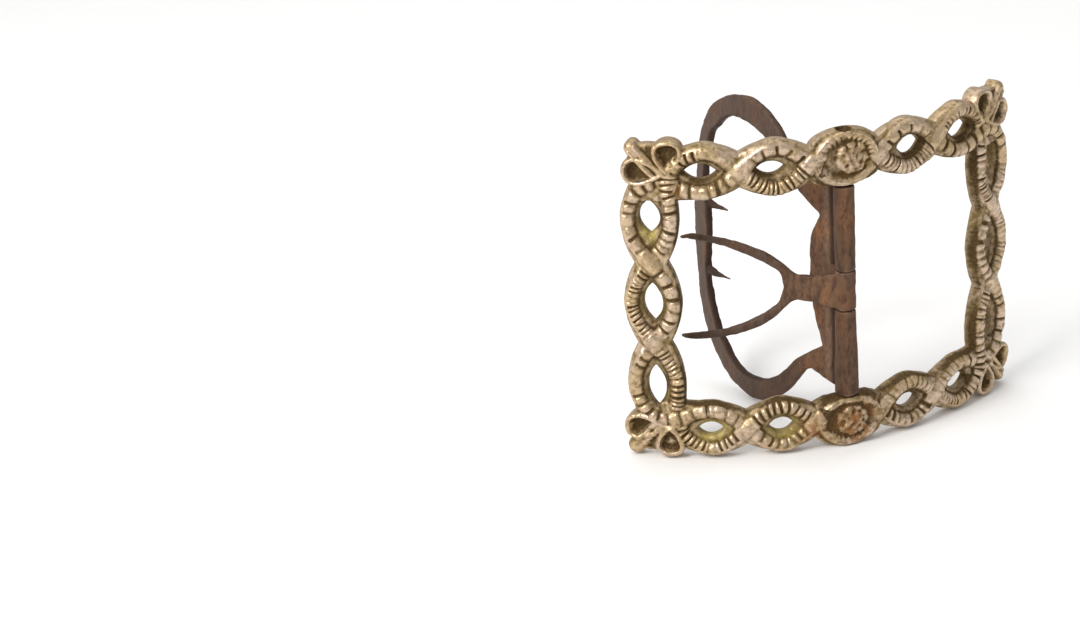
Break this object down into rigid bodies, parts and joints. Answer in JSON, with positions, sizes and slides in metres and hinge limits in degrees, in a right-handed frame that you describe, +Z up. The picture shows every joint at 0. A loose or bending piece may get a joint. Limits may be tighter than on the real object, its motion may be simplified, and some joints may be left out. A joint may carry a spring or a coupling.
{
  "type": "shoe buckle",
  "caption": "Bowed rectangular shoe buckle with a plaited openwork brass frame, and an iron loop chape and two-pronged fork that swing on one pin.",
  "frame": {"origin": "where the pin's axis meets the surface that the buckle stands on", "axes": "+Z up along the pin, +X to the right along the buckle's length, +Y from the face to the back"},
  "size_m": [0.0736, 0.0463, 0.0588],
  "materials": {
    "frame": "worn, tarnished cast brass",
    "pin": "dark wrought iron",
    "chape": "rusted wrought iron",
    "fork": "rusted wrought iron"
  },
  "bodies": {
    "frame": {"frame": "frame", "pin": "pin"},
    "chape": {"chape": "chape"},
    "fork": {"fork": "fork"}
  },
  "joints": [
    {"name": "chape_hinge", "type": "hinge", "parent": "frame", "child": "chape", "pos_m": [0, 0, 0.0294], "axis": [0, 0, -1], "range_deg": [-51, 81]},
    {"name": "fork_hinge", "type": "hinge", "parent": "chape", "child": "fork", "pos_m": [0, 0, 0.0294], "axis": [0, 0, -1], "range_deg": [-250, 33]}
  ]
}
